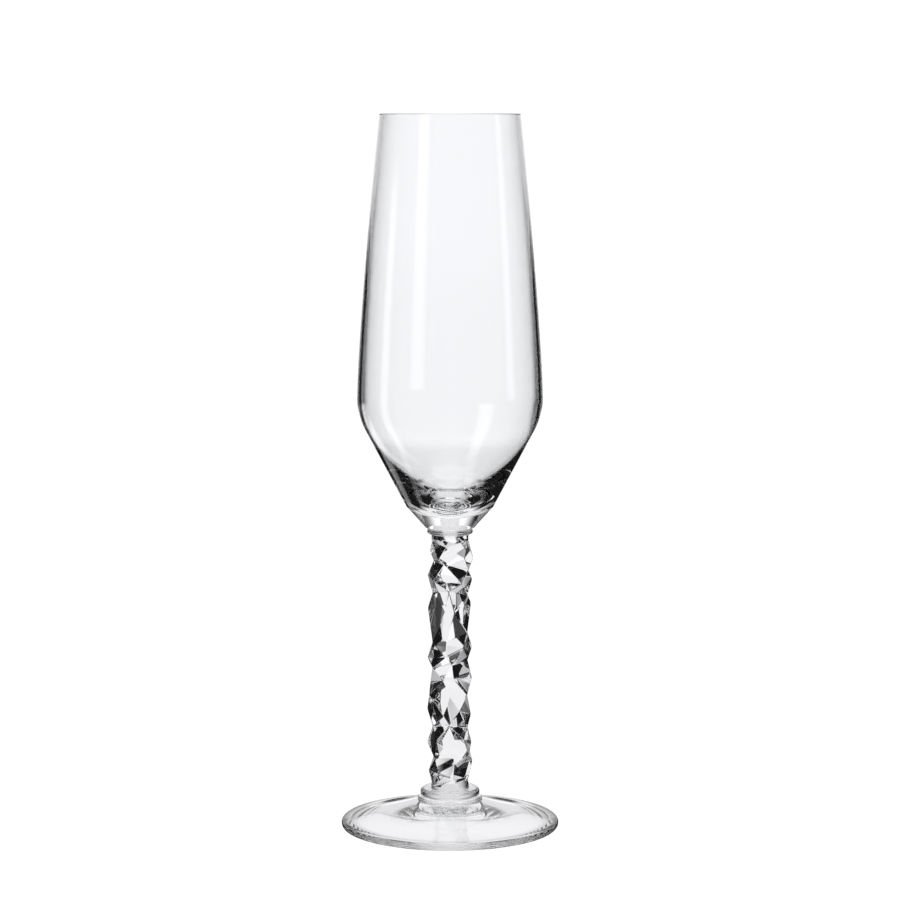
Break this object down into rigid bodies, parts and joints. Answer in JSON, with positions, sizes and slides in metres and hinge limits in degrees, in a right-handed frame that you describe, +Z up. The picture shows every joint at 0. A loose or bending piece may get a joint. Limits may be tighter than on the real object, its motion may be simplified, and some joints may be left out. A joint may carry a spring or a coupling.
{
  "type": "champagne flute",
  "caption": "Tall clear glass flute: thin bowl tapering to a narrow rim, thick cone base, irregular crystal-faceted stem and low disc foot.",
  "frame": {"origin": "centre of the foot's resting ring, on the surface the flute stands on", "axes": "+Z up along the flute's axis towards the rim; +X and +Y across, with the view of the stem's facets from -Y"},
  "size_m": [0.0734, 0.0734, 0.24],
  "materials": {
    "bowl_glass": "clear colourless blown glass, fire polished",
    "bowl_bead_glass": "clear colourless glass, fire polished",
    "stem_glass": "clear colourless pressed glass with polished facets",
    "stem_ring_glass": "clear colourless pressed glass, fire polished",
    "foot_glass": "clear colourless pressed glass, fire polished, ground resting ring"
  },
  "bodies": {
    "root": {"bowl": "bowl_glass", "bowl_bead": "bowl_bead_glass", "stem": "stem_glass", "stem_ring": "stem_ring_glass", "foot": "foot_glass"}
  },
  "joints": []
}
